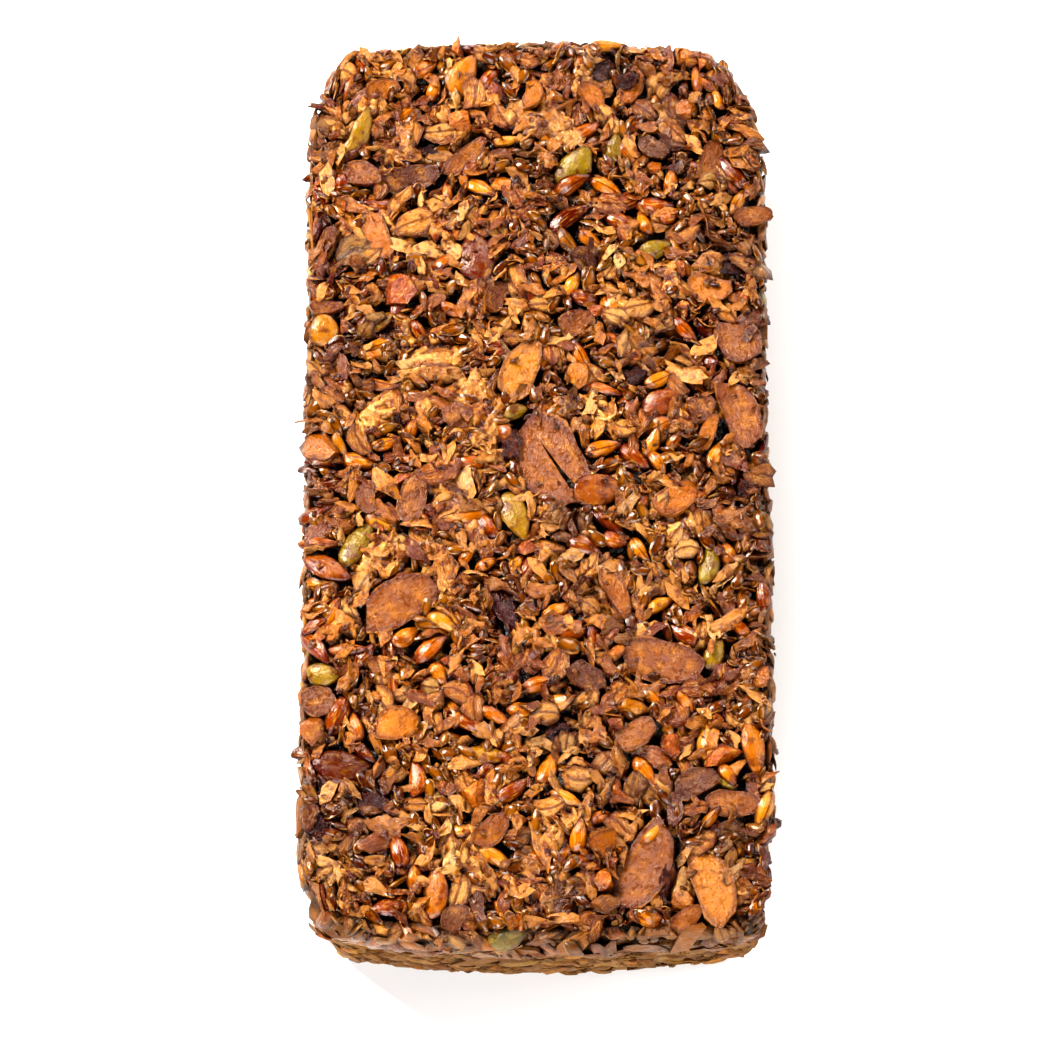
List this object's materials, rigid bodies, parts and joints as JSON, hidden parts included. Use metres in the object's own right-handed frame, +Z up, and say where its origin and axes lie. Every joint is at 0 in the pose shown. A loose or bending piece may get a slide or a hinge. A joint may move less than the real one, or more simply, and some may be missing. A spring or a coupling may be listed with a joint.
{
  "type": "seeded bread loaf",
  "caption": "Tin-shaped loaf of dense seeded bread: a block with rounded corners, flat base, pressed walls and a rough glossy top crowded with seeds, nut slices and oats",
  "frame": {"origin": "middle of the flat base, on the surface that the loaf stands on", "axes": "+Z up out of the base, +Y along the loaf towards the end that is far in the picture, +X to the right as the picture shows it"},
  "size_m": [0.121, 0.2407, 0.0603],
  "materials": {
    "baked_seeds": "glossy"
  },
  "bodies": {
    "root": {"loaf": "baked_seeds"}
  },
  "joints": []
}
